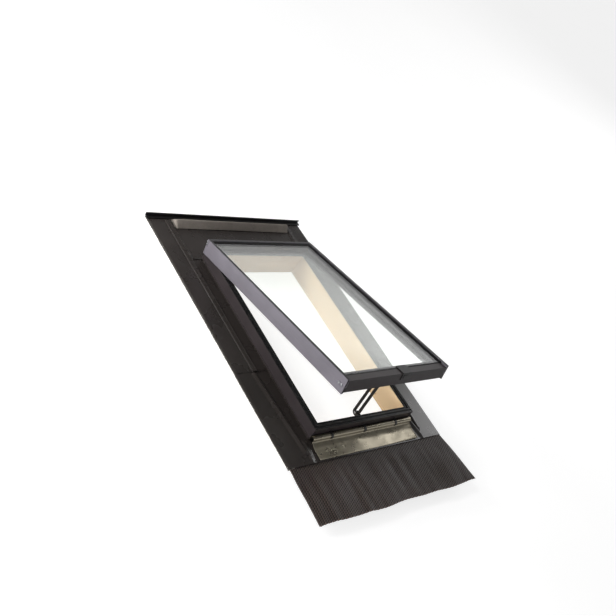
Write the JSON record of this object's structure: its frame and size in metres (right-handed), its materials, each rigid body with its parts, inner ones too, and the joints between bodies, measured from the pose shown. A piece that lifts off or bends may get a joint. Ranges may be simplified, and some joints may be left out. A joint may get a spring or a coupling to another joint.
{
  "type": "top-hung roof window",
  "caption": "Top-hung roof window with a pine-lined frame, a metal flashing collar, a pleated apron, a glazed sash on hinges and a slotted stay.",
  "frame": {"origin": "middle of the wooden frame's opening, on the plane of the frame's underside", "axes": "+Z square to the roof and outwards, +Y up the slope towards the hinges, +X to the right seen from outside with the hinges at the top"},
  "size_m": [0.744, 1.2345, 0.3052],
  "materials": {
    "pine": "clear lacquered pine",
    "frame_paint": "dark brown satin paint",
    "sheet_paint": "dark brown satin paint",
    "sill_sheet": "glossy",
    "sash_paint": "dark bronze anodised",
    "glass": "clear",
    "rubber": "matte",
    "foam": "open-cell foam",
    "wedge_foam": "impregnated foam",
    "apron_sheet": "pleated, matte",
    "black_plastic": "matte",
    "steel": "zinc plated",
    "spacer": "dark anodised"
  },
  "bodies": {
    "frame": {"left_board": "pine", "right_board": "pine", "top_board": "pine", "bottom_board": "pine", "board_screws": "steel", "left_cladding": "frame_paint", "right_cladding": "frame_paint", "top_cladding": "frame_paint", "bottom_cladding": "frame_paint", "rim_seal": "rubber", "top_flashing": "sheet_paint", "left_flashing": "sheet_paint", "right_flashing": "sheet_paint", "bottom_flashing": "sheet_paint", "sill_flashing": "sill_sheet", "sill_clips": "black_plastic", "top_wedge": "wedge_foam", "top_edge_strip": "black_plastic", "left_foam": "foam", "right_foam": "foam", "apron": "apron_sheet", "frame_hinge_leaves": "steel", "hinge_pins": "steel", "frame_hinge_screws": "steel", "catch_bracket": "black_plastic", "catch_pin": "steel", "catch_screws": "steel"},
    "sash": {"left_rail": "sash_paint", "right_rail": "sash_paint", "top_rail": "sash_paint", "bottom_rail": "frame_paint", "corner_screws": "steel", "outer_pane": "glass", "inner_pane": "glass", "pane_spacer": "spacer", "bedding_tape": "rubber", "glazing_gasket": "rubber", "glass_clip": "black_plastic", "sash_hinge_leaves": "steel", "sash_hinge_screws": "steel", "stay_bracket": "black_plastic", "stay_bracket_screws": "steel", "stay_pivot_pin": "steel"},
    "stay": {"stay_bar": "black_plastic"}
  },
  "joints": [
    {"name": "sash_hinge", "type": "hinge", "parent": "frame", "child": "sash", "pos_m": [0, 0.384, 0.098], "axis": [-1, 0, 0], "range_deg": [-13.5, 0]},
    {"name": "stay_pivot", "type": "hinge", "parent": "sash", "child": "stay", "pos_m": [0, -0.31066, 0.25449], "axis": [-1, 0, 0], "range_deg": [0, 8.1]}
  ],
  "couplings": [
    {"joint": "stay_pivot", "follows": "sash_hinge", "ratio": -0.6}
  ]
}
